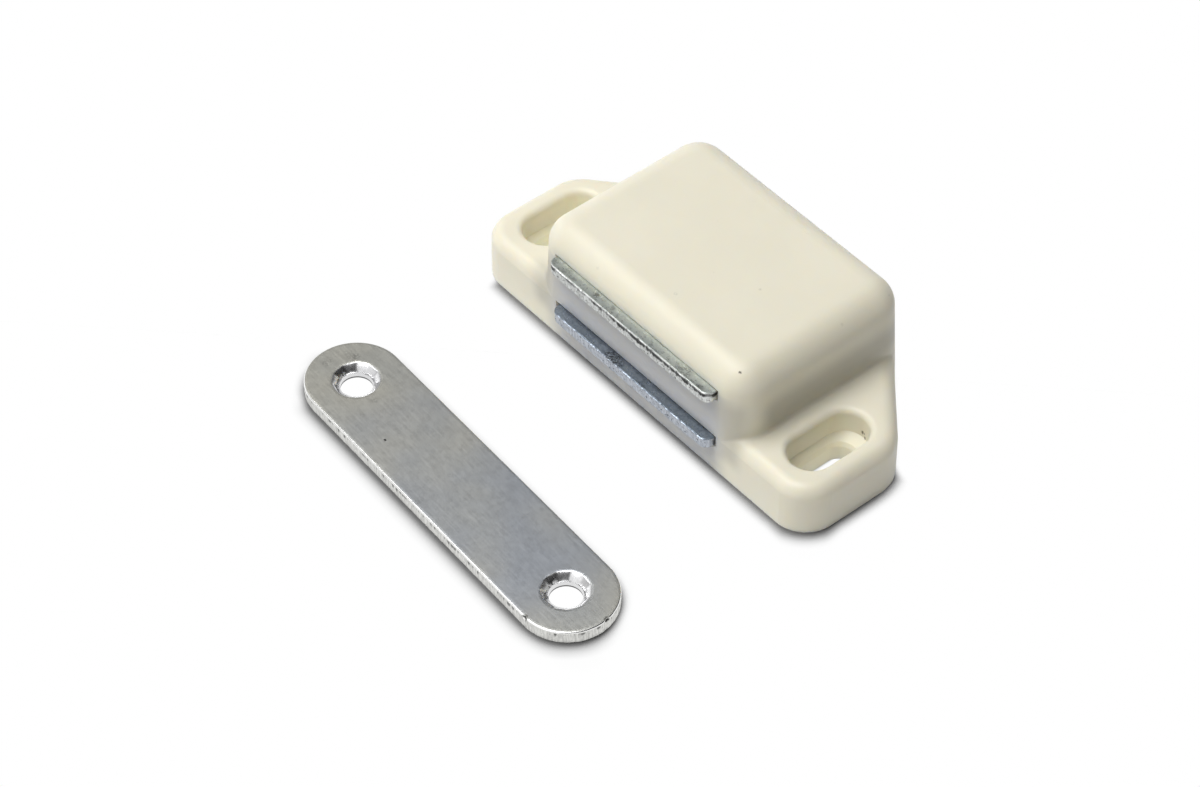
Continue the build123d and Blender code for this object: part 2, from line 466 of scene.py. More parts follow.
@dataclass(frozen=True)
class PlatedSteel:
    """Zinc-plated mild steel strip with a mottled, lightly rubbed surface.

    Attributes:
        name: Material name.
        colour: Main colour of the plating, linear.
        cloud: Colour of its broad clouds.
        stain: Colour of the small stains and pores.
        roughness: Mean roughness.
        pores: How many pores show, 0 to 1.
        mottling: How strong the fine mottle is, 0 to 1.
        along: Direction the strip was rolled in, as a turn about Z in radians.
        marks: (centre, radius, strength) of small dark stains, in metres.
        dull: Centre and reach of a broad darker, bluer patch, in metres.
        dull_tint: Shares of the main colour's red that make the patch's colour.
        dark: Colour of the marks.
    """

    name: str
    colour: Colour
    cloud: Colour
    stain: Colour
    roughness: float = 0.38
    pores: float = 0.4
    mottling: float = 0.30
    along: float = 0.0
    marks: Marks = ()
    dull: tuple[Vector, float] | None = None
    dull_tint: Colour = (0.71, 0.75, 0.81)
    dark: Colour = (0.02, 0.02, 0.018)

    def material(self) -> bpy.types.Material:
        """Build the material."""
        made, g = new_material(self.name)
        where = g.place()
        turn = {"Vector": where, "Rotation": (0.0, 0.0, -self.along)}
        turned = g.node("ShaderNodeMapping", turn).outputs[0]
        clouds = g.between(g.noise(where, 110.0, 3.0, 0.45), 0.36, 0.66)
        colour = g.mix(clouds, self.colour, self.cloud)
        mottle = g.noise(where, 1500.0, 6.0, 0.7)
        colour = g.mix(g.between(mottle, 0.35, 0.75, 0.0, self.mottling), colour, self.stain)
        if self.dull:
            patchy = g.between(g.noise(where, 75.0, 2.0), 0.3, 0.65, 0.35, 1.0)
            mask = g.maths("MULTIPLY", g.near(where, *self.dull), patchy)
            colour = g.mix(mask, colour, scaled(self.dull_tint, self.colour[0]))
        pits = g.between(g.noise(where, 4200.0, 2.0), 0.78 - 0.10 * self.pores, 0.84)
        colour = g.mix(g.maths("MULTIPLY", pits, 0.7), colour, scaled(self.stain, 0.35))
        colour = g.spots(where, colour, self.marks, self.dark)
        rolled = g.grain(turned, (300.0, 9000.0, 3000.0), 3.0, 0.6)
        spread = 0.02 + 0.2 * self.mottling
        rough = g.between(mottle, 0.3, 0.7, self.roughness - spread, self.roughness + spread)
        rough = g.maths("ADD", rough, g.between(rolled, 0.4, 0.7, -0.03, 0.05), clamp=True)
        colour, rough = g.apply_wear_and_shade(colour, rough, scaled(self.stain, 0.3))
        normal = g.bump(g.noise(where, 170.0, 2.0), 0.16, 0.08 * MM)
        normal = g.bump(mottle, 0.6 * self.mottling, 0.012 * MM, normal)
        normal = g.bump(rolled, 0.15, 0.008 * MM, normal)
        g.surface(colour, rough, normal, {"Metallic": 1.0})
        return made


@dataclass(frozen=True)
class ShearedSteel:
    """Cut edge of a blanked plate: a bright burnished band and a torn, streaked break.

    Attributes:
        name: Material name.
        bright: Colour of the burnished metal, linear.
        torn: Colour of the break.
        dirt: Colour of the residue in its pits.
        dirt_share: How much of the edge is pitted, 0 to 1.
    """

    name: str
    bright: Colour
    torn: Colour
    dirt: Colour
    dirt_share: float

    def material(self) -> bpy.types.Material:
        """Build the material."""
        made, g = new_material(self.name)
        where = g.place()
        streaks = g.grain(where, (5200.0, 5200.0, 700.0), 4.0, 0.65)
        flecks = g.noise(where, 3400.0, 5.0, 0.75)
        colour = g.mix(g.between(streaks, 0.32, 0.66), self.bright, self.torn)
        clean = 0.68 - 0.14 * self.dirt_share
        colour = g.mix(g.between(flecks, clean, clean + 0.07), colour, self.dirt)
        colour, rough = g.apply_wear_and_shade(colour, g.between(streaks, 0.3, 0.7, 0.28, 0.5), self.dirt)
        normal = g.bump(flecks, 0.5, 0.03 * MM, g.bump(streaks, 0.5, 0.03 * MM))
        g.surface(colour, rough, normal, {"Metallic": 1.0})
        return made


@dataclass(frozen=True)
class GroundFerrite:
    """Sintered ferrite, ground flat on its faces.

    Attributes:
        name: Material name.
        colour: Main colour, linear.
    """

    name: str
    colour: Colour

    def material(self) -> bpy.types.Material:
        """Build the material."""
        made, g = new_material(self.name)
        where = g.place()
        grind = g.grain(where, (6000.0, 500.0, 500.0), 3.0, 0.6)
        pits = g.between(g.noise(where, 3000.0, 3.0), 0.66, 0.72)
        colour = g.mix(g.between(grind, 0.3, 0.7), self.colour, scaled(self.colour, 1.6))
        colour = g.mix(pits, colour, scaled(self.colour, 0.4))
        normal = g.bump(pits, 0.5, -0.03 * MM, g.bump(grind, 0.3, 0.01 * MM))
        g.surface(colour, g.between(grind, 0.3, 0.7, 0.38, 0.55), normal, {"IOR": 1.9})
        return made


# --- Mesh building ---


Profile = Callable[[Vector], float]


def level(value: float) -> Profile:
    """Return a profile that is the same all round."""
    return lambda point: value


class Band(IntEnum):
    """Which of a plate's materials a band of faces has."""

    FACE = 0
    EDGE = 1
    BORE = 2


@dataclass(frozen=True)
class Ring:
    """One line round a plate's edge, as values that may change from point to point.

    Attributes:
        inset: Distance into the metal, in metres.
        height: Height, in metres.
        band: Material of the band below the line.
        wear_and_shade: -1 where the line is rubbed bright, 1 where it is dirty, where shade is painted and
            where a dark reflection is painted.
        smooth: False where the band below the line is cut in flats.
    """

    inset: Profile
    height: Profile
    band: Band = Band.FACE
    wear_and_shade: Profile = level(0.0)
    smooth: bool = True


@dataclass
class Loop:
    """A closed outline in plan with its outward normals.

    Attributes:
        points: Plan points, counter-clockwise.
        normals: Unit normals that point away from the metal.
    """

    points: list[Vector]
    normals: list[Vector]


def outward(direction: Vector) -> Vector:
    """Return the normal that points out of a counter-clockwise outline's side."""
    return Vector((direction.y, -direction.x))


def rounded_outline(
    corners: Sequence[tuple[float, float, float]], step: float, arc_steps: int = 8
) -> Loop:
    """Round a polygon's corners and divide its sides.

    Args:
        corners: (x, y, radius) counter-clockwise, in metres.
        step: Longest side segment, in metres.
        arc_steps: Segments in each rounded corner.

    Returns:
        The outline.
    """
    points: list[Vector] = []
    normals: list[Vector] = []
    count = len(corners)
    ends = []
    for i, (x, y, radius) in enumerate(corners):
        here = Vector((x, y))
        before = (here - Vector(corners[i - 1][:2])).normalized()
        after = (Vector(corners[(i + 1) % count][:2]) - here).normalized()
        turn = math.atan2(before.x * after.y - before.y * after.x, before.dot(after))
        cut = abs(radius * math.tan(turn / 2))
        ends.append((here - before * cut, here + after * cut, before, turn, radius))
    for i, (start, stop, before, turn, radius) in enumerate(ends):
        side = math.copysign(1.0, turn)
        centre = start - outward(before) * radius * side
        steps = arc_steps if radius > 0 else 0
        for k in range(steps + 1):
            angle = turn * k / steps if steps else turn / 2
            normal = Matrix.Rotation(angle, 2) @ outward(before)
            points.append(centre + normal * radius * side if steps else start.copy())
            normals.append(normal)
        following = ends[(i + 1) % count][0]
        pieces = max(1, math.ceil((following - stop).length / step))
        normal = outward((following - stop).normalized())
        for k in range(1, pieces):
            points.append(stop.lerp(following, k / pieces))
            normals.append(normal)
    return Loop(points, normals)


def round_hole(centre: Vector, radius: float, steps: int) -> Loop:
    """Return a hole's outline, its normals pointing into the hole.

    Args:
        centre: Plan centre.
        radius: Radius in metres.
        steps: Points round the hole.

    Returns:
        The outline.
    """
    angles = [math.tau * k / steps for k in range(steps)]
    spokes = [Vector((math.cos(a), math.sin(a))) for a in angles]
    return Loop([centre + s * radius for s in spokes], [-s for s in spokes])


class SheetMesh:
    """A plate built ring by ring round its outline and holes."""

    def __init__(self, name: str) -> None:
        """Start an empty plate.

        Args:
            name: The piece's name.
        """
        self.name = name
        self.bm = bmesh.new()
        self.wear_and_shade = self.bm.verts.layers.float.new("wear_and_shade")
        self.tops: list[Rim] = []
        self.bottoms: list[Rim] = []

    def row(self, loop: Loop, ring: Ring) -> Rim:
        """Add one ring's points.

        Args:
            loop: The outline that the ring follows.
            ring: The ring.

        Returns:
            The new points.
        """
        row = []
        for point, normal in zip(loop.points, loop.normals):
            place = point - normal * ring.inset(point)
            vert = self.bm.verts.new((place.x, place.y, ring.height(point)))
            vert[self.wear_and_shade] = ring.wear_and_shade(point)
            row.append(vert)
        return row

    def wall(self, loop: Loop, rings: Sequence[Ring], flip: bool = False) -> None:
        """Add one closed wall from its bottom ring to its top ring.

        Args:
            loop: The outline that the wall follows.
            rings: The rings, bottom first.
            flip: True for a hole's wall.
        """
        rows = [self.row(loop, ring) for ring in rings]
        for low, high, ring in zip(rows, rows[1:], rings[1:]):
            size = len(low)
            for i in range(size):
                j = (i + 1) % size
                quad = (low[i], low[j], high[j], high[i])
                face = self.bm.faces.new(tuple(reversed(quad)) if flip else quad)
                face.material_index = ring.band
                face.smooth = ring.smooth
        self.bottoms.append(rows[0])
        self.tops.append(rows[-1])

    def cap(self, rims: Sequence[Rim], up: bool) -> None:
        """Close the top or the bottom between its rims.

        Args:
            rims: The outer rim and those of the holes.
            up: True for the top.
        """
        edges = []
        for rim in rims:
            for vert, following in zip(rim, rim[1:] + rim[:1]):
                edge = self.bm.edges.get((vert, following)) or self.bm.edges.new((vert, following))
                edges.append(edge)
        filled = bmesh.ops.triangle_fill(self.bm, use_beauty=True, use_dissolve=False, edges=edges)
        for face in filled["geom"]:
            if isinstance(face, bmesh.types.BMFace):
                face.normal_update()
                if (face.normal.z > 0) != up:
                    face.normal_flip()
                face.material_index = Band.FACE
                face.smooth = True

    def finish(self, materials: Iterable[bpy.types.Material], sharp_degrees: float) -> bpy.types.Object:
        """Turn the plate into an object with clean normals.

        Args:
            materials: One for each band.
            sharp_degrees: Edges that bend more than this stay crisp.

        Returns:
            The object, linked into the scene.
        """
        self.cap(self.tops, True)
        self.cap(self.bottoms, False)
        mesh = bpy.data.meshes.new(self.name)
        self.bm.to_mesh(mesh)
        self.bm.free()
        for material in materials:
            mesh.materials.append(material)
        mesh.set_sharp_from_angle(angle=math.radians(sharp_degrees))
        made = bpy.data.objects.new(self.name, mesh)
        bpy.context.scene.collection.objects.link(made)
        weighted = made.modifiers.new("even_normals", "WEIGHTED_NORMAL")
        weighted.keep_sharp = True
        return made


@dataclass(frozen=True)
class Raggedness:
    """Smooth noise along a plate's edge.

    Attributes:
        seed: Picks the pattern.
    """

    seed: float

    def noise(self, point: Vector, scale: float, layer: float = 0.0) -> float:
        """Return smooth noise from 0 to 1 at a plan point.

        Args:
            point: The place in plan, in metres.
            scale: Features per metre.
            layer: Offset that picks another pattern.

        Returns:
            The noise.
        """
        value = noise.noise(Vector((point.x * scale + self.seed, point.y * scale, layer)))
        return min(1.0, max(0.0, 0.5 + 0.75 * value))

    def rough(self, base: float, depth: float, scale: float, layer: float = 0.0) -> Profile:
        """Return a profile of noise over a base value.

        Args:
            base: Lowest value.
            depth: How far the noise rises above it.
            scale: Features per metre.
            layer: Offset that picks another pattern.

        Returns:
            The profile.
        """
        return lambda point: base + depth * self.noise(point, scale, layer)


def dressed(frame: dict, node: str, material: bpy.types.Material) -> bpy.types.Object:
    """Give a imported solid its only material.

    Args:
        frame: The loaded frame.
        node: The solid.
        material: Its finish.

    Returns:
        The solid's object.
    """
    piece = frame["nodes"][node]
    piece.data.materials.clear()
    piece.data.materials.append(material)
    return piece


# --- Sub-assemblies ---


@dataclass
class Housing:
    """The ivory moulding and the cover that closes it from below.

    Attributes:
        node: The moulding's solid.
        cover_node: The cover's solid.
        tongue_node: The upper pole plate, from whose tongue the boxes of painted shade are placed.
        recess_length: Length of the screw-head recess in each ear.
        recess_width: Its width.
        recess_top: Height that the recess stays under, as a share of the moulding's.
        left_light: How much painted light the left recess gets, 0 to 1.
        right_light: The same of the right one.
    """

    node: str = "housing"
    cover_node: str = "base_cover"
    tongue_node: str = "upper_pole_plate"
    recess_length: float = 10.8 * MM
    recess_width: float = 5.5 * MM
    recess_top: float = 0.36
    left_light: float = 0.9
    right_light: float = 0.35

    def marks(self) -> Marks:
        """Return the small dark scuffs, placed from the moulding's box."""
        low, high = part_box(self.node)
        spots = (
            (-13.66, 2.25, -0.49, 0.25, 0.9),
            (-5.55, 14.24, -12.03, 0.40, 0.9),
            (-5.14, 14.21, -12.5, 0.30, 0.85),
            (-21.7, 12.4, 0.0, 0.30, 0.18),
            (-27.3, 4.54, 0.0, 0.35, 0.13),
            (-12.2, 16.34, -0.97, 0.30, 0.12),
            (-12.5, 23.93, -1.29, 0.30, 0.12),
            (-37.0, 1.11, -1.02, 0.30, 0.12),
        )
        return marks_from(Vector((high.x, low.y, high.z)), spots)

    def tongue_corners(self) -> Box:
        """Return the upper tongue's left foot and right top on the front wall's foremost plane."""
        low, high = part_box(self.tongue_node)
        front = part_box(self.node)[0].y
        return Vector((low.x, front, 0.0)), Vector((high.x, front, high.z))

    def painted_plate_shade(self) -> Box:
        """Return the front wall's box round both tongues, where shade between and under the plates is painted
        grey.
        """
        left, right = self.tongue_corners()
        return left + Vector((0.7, -1.0, -1.0)) * MM, right + Vector((-0.7, 0.9, -0.45)) * MM

    def painted_shade_boxes(self) -> tuple[Box, ...]:
        """Return the boxes of painted shade on the block: its front, its left corner and its right end."""
        left, right = self.tongue_corners()
        front = (left + Vector((-2.6, -2.0, 3.0)) * MM, right + Vector((2.6, 1.6, -1.2)) * MM)
        corner_top = Vector((left.x, left.y, right.z)) + Vector((0.3, 2.6, -2.0)) * MM
        corner = (left + Vector((-4.1, -2.0, 6.0)) * MM, corner_top)
        end_foot = Vector((right.x, right.y, 0.0)) + Vector((1.2, 4.0, 7.5)) * MM
        end = (end_foot, right + Vector((6.0, 30.0, -1.8)) * MM)
        return front, corner, end

    def recesses(self, mounts: list[dict]) -> tuple[tuple[Vector, Vector, float], ...]:
        """Return the boxes of both screw-head recesses, with painted light, more in the left one.

        Args:
            mounts: The record's mounts, for the screw slots.

        Returns:
            Low corner, high corner and share of painted light of each.
        """
        top = self.recess_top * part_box(self.node)[1].z
        boxes = []
        for mount in mounts:
            if mount["dims"].get("slot_length_mm"):
                x, y = mount["pos_m"][:2]
                half = Vector((self.recess_width, self.recess_length, 0.0)) / 2
                share = self.left_light if x < 0 else self.right_light
                boxes.append((Vector((x, y, 0.0)) - half, Vector((x, y, top)) + half, share))
        return tuple(boxes)

    def dress(self, frame: dict) -> list[bpy.types.Object]:
        """Give both mouldings their finish.

        Args:
            frame: The loaded frame.

        Returns:
            The dressed objects.
        """
        ivory = MouldedPlastic(
            "ivory_moulding",
            (0.78, 0.745, 0.615),
            (0.80, 0.765, 0.635),
            marks=self.marks(),
            painted_plate_shade=self.painted_plate_shade(),
            painted_shade_boxes=self.painted_shade_boxes(),
            painted_light_boxes=self.recesses(frame["record"]["mounts"]),
        )
        cover = MouldedPlastic("cover_moulding", (0.70, 0.66, 0.53), (0.73, 0.68, 0.55), 0.5)
        return [
            dressed(frame, self.node, ivory.material()),
            dressed(frame, self.cover_node, cover.material()),
        ]


@dataclass
class PolePlate:
    """One blanked pole plate: a tongue with rolled-over edges and shoulders behind it.

    Attributes:
        node: The solid that it stands for.
        edge_noise: Pattern of its torn edge.
        finish: Plating of its faces.
        edge: Finish of its cut edge.
        sides: The tongue's two sides, along X.
        tear: How strongly the lip under the rolled edge is torn, 0 to 1; the lip is also painted dark with
            it, as shade under the rolled edge.
        glint: How bright the rolled edge is rubbed, 0 to 1; below 0, how dark it is painted, as shade.
        wall_shade: How dark the face is painted where it leaves the housing, as shade by the wall.
        ragged: How far the rolled edge wanders.
        roll: Height of the rolled-over edge.
        tongue_corner: Corner radius at the tongue's tip.
        shoulder_corner: Corner radius of the shoulders.
        shoulder_back: Distance from the tip to the shoulders.
        dish: How far the face dips towards the rolled edge.
        step: Longest segment of the tongue's outline.
    """

    node: str
    edge_noise: Raggedness
    finish: PlatedSteel
    edge: ShearedSteel
    sides: tuple[float, float]
    tear: float
    glint: float
    wall_shade: float
    ragged: float
    roll: float
    tongue_corner: float = 1.2 * MM
    shoulder_corner: float = 0.8 * MM
    shoulder_back: float = 3.9 * MM
    dish: float = 0.03 * MM
    step: float = 0.08 * MM

    def outline(self) -> Loop:
        """Return the blank's outline, the tongue finely divided."""
        low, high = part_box(self.node)
        left, right = self.sides
        shoulder = low.y + self.shoulder_back
        corners = [
            (left, low.y, self.tongue_corner),
            (right, low.y, self.tongue_corner),
            (right, shoulder, 0.0),
            (high.x, shoulder, self.shoulder_corner),
            (high.x, high.y, self.shoulder_corner),
            (low.x, high.y, self.shoulder_corner),
            (low.x, shoulder, self.shoulder_corner),
            (left, shoulder, 0.0),
        ]
        return rounded_outline(corners, self.step)

    def across(self, point: Vector) -> float:
        """Return 0 at the tongue's left side and 1 at its right side."""
        left, right = self.sides
        return min(1.0, max(0.0, (point.x - left) / (right - left)))

    def tearing(self, point: Vector) -> float:
        """Return how torn the lip is: a little at the left, in long patches further right.

        Args:
            point: The place in plan.

        Returns:
            The amount, about 0 to 1.
        """
        patch = self.edge_noise.noise(point, 300.0, 4.0) + 0.9 * self.across(point)
        fine = self.edge_noise.noise(point, 1300.0, 6.0) + self.edge_noise.noise(point, 3900.0, 7.0)
        return self.tear * min(1.0, max(0.3, patch)) * (0.15 + 0.7 * fine)

    def dark_reflection(self, point: Vector) -> float:
        """Return the painted dark reflection just behind the rolled edge, in the left half and at the right
        end.

        Args:
            point: The place in plan.

        Returns:
            The amount, 0 where there is none.
        """
        share = self.across(point)
        ends = max(0.0, 0.8 - share) + max(0.0, 1.0 - abs(share - 0.93) / 0.09)
        return max(0.0, self.glint) * ends * (0.35 + self.edge_noise.noise(point, 700.0, 2.0))

    def gleam(self, point: Vector) -> float:
        """Return how brightly the rolled edge is rubbed: broken up, and dirty at both its ends.

        Args:
            point: The place in plan.

        Returns:
            The amount, below 0 where it is dirty.
        """
        place = self.across(point)
        middle = min(1.0, place / 0.03, (1.0 - place) / 0.012)
        broken = 3.0 * self.edge_noise.noise(point, 1700.0, 1.0) - 0.5 - 0.8 * place
        value = middle * min(1.0, max(-0.5, broken)) - 0.4 * (1.0 - middle)
        # On the lower plate glint is below 0, so the rolled edge is painted dark, as shade under the upper
        # plate.
        return self.glint * (value if self.glint > 0 else max(0.0, value))

    def torn(self, share: float) -> Profile:
        """Return the tearing times a share."""
        return lambda point: share * self.tearing(point)

    def reflected_dark(self, share: float) -> Profile:
        """Return the painted dark reflection times a share, as wear_and_shade."""
        return lambda point: share * self.dark_reflection(point)

    def rubbed(self, share: float) -> Profile:
        """Return the gleam times a share, as wear_and_shade."""
        return lambda point: -share * self.gleam(point)

    def lip(self, drop: float, spread: float) -> Profile:
        """Return the height of a line under the rolled edge, which tears pull down.

        Args:
            drop: Its least distance under the rolled edge, in millimetres.
            spread: How much further tears pull it down, in millimetres.

        Returns:
            The profile.
        """
        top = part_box(self.node)[1].z - self.roll - self.dish
        return lambda point: top - (drop + spread * self.tearing(point)) * MM

    def reach(self, inset: float) -> Profile:
        """Return an inset that shrinks at the shoulders, whose corners are tighter.

        Args:
            inset: The inset round the tongue.

        Returns:
            The profile.
        """
        tongue_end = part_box(self.node)[0].y + self.shoulder_back - 0.4 * MM
        near = min(inset, 0.5 * MM)
        return lambda point: near + (inset - near) * min(1.0, max(0.0, (tongue_end - point.y) / MM))

    def rings(self) -> list[Ring]:
        """Return the edge's rings from the bottom up: break, torn lip, rolled edge and face."""
        low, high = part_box(self.node)
        noisy, torn, lip = self.edge_noise.rough, self.torn, self.lip
        rings = [Ring(noisy(0.05 * MM, 0.06 * MM, 1900), level(low.z))]
        for k in range(5):
            uneven = noisy(0.0, 0.09 * MM, 2700, 0.7 * k)
            rings.append(Ring(uneven, level(high.z - (1.44 - 0.14 * k) * MM), Band.EDGE))
        rings += [
            Ring(level(0.01 * MM), lip(0.20, 0.44), Band.EDGE),
            # The lip rings' dark follows the tearing and paints the shade under the rolled edge.
            Ring(torn(0.04 * MM), lip(0.14, 0.34), Band.EDGE, torn(0.75)),
            Ring(torn(0.06 * MM), lip(0.03, 0.10), Band.EDGE, torn(1.0)),
            Ring(level(0.0), lip(0.0, 0.03), Band.EDGE, torn(0.6)),
        ]
        for k, gleam in enumerate((0.45, 1.0, 1.0, 0.45, 0.0, 0.0), 1):
            angle = math.radians(15 * k)
            inset = self.roll * (1 - math.cos(angle)) + 0.01 * MM
            wander = noisy(inset, self.ragged * math.cos(angle) ** 2, 2400, 3.0)
            height = level(high.z - self.dish - self.roll * (1 - math.sin(angle)))
            band = Band.EDGE if k < 4 and self.glint > 0 else Band.FACE
            rings.append(Ring(wander, height, band, self.rubbed(gleam)))
        rings += [
            # These two rings paint a dark reflection on the face just behind the rolled edge.
            Ring(level(self.roll + 0.1 * MM), level(high.z - self.dish), wear_and_shade=self.reflected_dark(0.4)),
            Ring(self.reach(0.6 * MM), level(high.z - 0.4 * self.dish), wear_and_shade=self.reflected_dark(0.35)),
            # These two rings paint the face dark where it leaves the housing, as shade by the wall.
            Ring(self.reach(0.85 * MM), level(high.z), wear_and_shade=level(0.35 * self.wall_shade)),
            Ring(self.reach(1.15 * MM), level(high.z), wear_and_shade=level(self.wall_shade)),
        ]
        return rings

    def build(self) -> bpy.types.Object:
        """Build the plate and put it in its solid's place."""
        sheet = SheetMesh(f"{self.node}_blank")
        sheet.wall(self.outline(), self.rings())
        piece = sheet.finish((self.finish.material(), self.edge.material()), 50)
        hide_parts(self.node)
        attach(piece, "magnet_pack")
        return piece


def tip_marks(node: str, spots: Sequence[tuple[float, float, float, float]]) -> Marks:
    """Place stains on a tongue's upper face.

    Args:
        node: The pole plate.
        spots: (x, distance from the tip, radius, strength), lengths in millimetres.

    Returns:
        The marks in the frame.
    """
    low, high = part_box(node)
    flat = [(x, back, 0.0, radius, strength) for x, back, radius, strength in spots]
    return marks_from(Vector((0.0, low.y, high.z)), flat)


@dataclass
class MagnetPack:
    """The magnet and the two plates that it holds, which float together.

    Attributes:
        magnet_node: The ferrite block's solid.
        upper_node: The upper plate's solid.
        lower_node: The lower plate's solid.
    """

    magnet_node: str = "magnet"
    upper_node: str = "upper_pole_plate"
    lower_node: str = "lower_pole_plate"

    def upper(self) -> PolePlate:
        """Return the upper plate, rubbed bright along its torn edge."""
        spots = ((-11.3, 0.7, 0.9, 0.3), (-6.2, 0.8, 0.55, 0.6), (-3.4, 0.9, 0.5, 0.4), (9.5, 0.6, 1.2, 0.45))
        face = PlatedSteel(
            "upper_pole_face",
            (0.62, 0.66, 0.62),
            (0.46, 0.50, 0.49),
            (0.20, 0.22, 0.20),
            roughness=0.34,
            pores=0.6,
            mottling=0.4,
            marks=tip_marks(self.upper_node, spots),
        )
        edge = ShearedSteel(
            "upper_pole_edge", (0.72, 0.74, 0.73), (0.50, 0.51, 0.50), (0.015, 0.015, 0.015), 0.9
        )
        return PolePlate(
            self.upper_node,
            Raggedness(3.7),
            face,
            edge,
            (-14.2 * MM, 14.12 * MM),
            tear=1.0,
            glint=1.0,
            wall_shade=0.0,
            ragged=0.09 * MM,
            roll=0.13 * MM,
        )

    def lower(self) -> PolePlate:
        """Return the lower plate: bluish, its darker colours and dark rolled edge painted shade under the
        upper plate.
        """
        spots = ((-3.0, 0.45, 1.5, 0.75), (-1.7, 0.4, 0.9, 0.6), (2.6, 0.3, 0.8, 0.4))
        # Darker than the upper plate's colours: painted shade under the upper plate.
        face = PlatedSteel(
            "lower_pole_face",
            (0.36, 0.405, 0.47),
            (0.28, 0.325, 0.38),
            (0.06, 0.07, 0.09),
            roughness=0.36,
            pores=1.0,
            mottling=0.6,
            marks=tip_marks(self.lower_node, spots),
        )
        edge = ShearedSteel(
            "lower_pole_edge", (0.50, 0.53, 0.58), (0.38, 0.41, 0.46), (0.03, 0.04, 0.05), 0.9
        )
        return PolePlate(
            self.lower_node,
            Raggedness(12.9),
            face,
            edge,
            (-13.65 * MM, 14.1 * MM),
            tear=0.25,
            glint=-0.35,
            wall_shade=0.3,
            ragged=0.16 * MM,
            roll=0.12 * MM,
        )

    def build(self, frame: dict) -> list[bpy.types.Object]:
        """Finish the magnet and build both plates.

        Args:
            frame: The loaded frame.

        Returns:
            The three pieces.
        """
        ferrite = GroundFerrite("ground_ferrite", (0.035, 0.036, 0.04))
        magnet = dressed(frame, self.magnet_node, ferrite.material())
        return [magnet, self.upper().build(), self.lower().build()]


@dataclass(frozen=True)
class Countersink:
    """One countersunk hole, its cone cut in slightly tilted flats.

    Attributes:
        centre: Plan centre.
        seed: Picks the tilt of the flats.
        hole_radius: Radius of the drilled part.
        sink_radius: Radius of the cone at the face.
        flats: Flats that the cutter left.
        flatness: How flat they are, 0 for a round cone and 1 for straight sides.
        tilt: How far a flat may lean.
        steps: Points round the hole.
    """

    centre: Vector
    seed: float
    hole_radius: float = 1.95 * MM
    sink_radius: float = 2.82 * MM
    flats: int = 11
    flatness: float = 0.85
    tilt: float = 0.42 * MM
    steps: int = 88

    def outline(self) -> Loop:
        """Return the drilled hole's outline."""
        return round_hole(self.centre, self.hole_radius, self.steps)

    def opening(self, point: Vector, share: float) -> float:
        """Return how much wider than the drilled part the cone is.

        Args:
            point: The place in plan, for its direction from the centre.
            share: Height on the cone, 0 at the drilled part and 1 at the face.

        Returns:
            The distance, in metres.
        """
        width = math.tau / self.flats
        spoke = point - self.centre
        turn = math.atan2(spoke.y, spoke.x) + self.seed
        sector = math.floor(turn / width)
        straight = math.cos(width / 2) / math.cos(turn - (sector + 0.5) * width)
        radius = self.hole_radius + share * (self.sink_radius - self.hole_radius)
        radius *= straight * self.flatness + 1 - self.flatness
        lean = noise.noise(Vector((7.3 * sector + 0.4, self.seed, 0.5)))
        return radius - self.hole_radius + self.tilt * lean * (share - 0.5)

    def flat(self, share: float) -> Profile:
        """Return the cone's opening at a share of its height."""
        return lambda point: self.opening(point, share)

    def rings(self, bottom: float, top: float) -> list[Ring]:
        """Return the hole's rings from the bottom up.

        Args:
            bottom: Height of the plate's underside.
            top: Height of its face.

        Returns:
            The rings.
        """
        cone = self.sink_radius - self.hole_radius
        edge = level(0.0)
        rings = [
            Ring(level(0.3 * MM), level(bottom)),
            # These two rings paint the foot of the bore dark, as shade down in the hole.
            Ring(edge, level(bottom), wear_and_shade=level(0.9)),
            Ring(edge, level(bottom + 0.16 * MM), Band.BORE, level(0.8)),
            Ring(edge, level(bottom + 0.26 * MM), Band.BORE),
            Ring(edge, level(top - cone - 0.10 * MM), Band.BORE),
            Ring(level(0.02 * MM), level(top - cone - 0.02 * MM), Band.BORE),
        ]
        for share in (0.18, 0.5, 0.93):
            rings.append(Ring(self.flat(share), level(top - cone * (1 - share)), Band.BORE, smooth=False))
        rings.append(Ring(level(cone + 0.05 * MM), level(top), Band.BORE))
        rings.append(Ring(level(cone + 0.35 * MM), level(top)))
        return rings


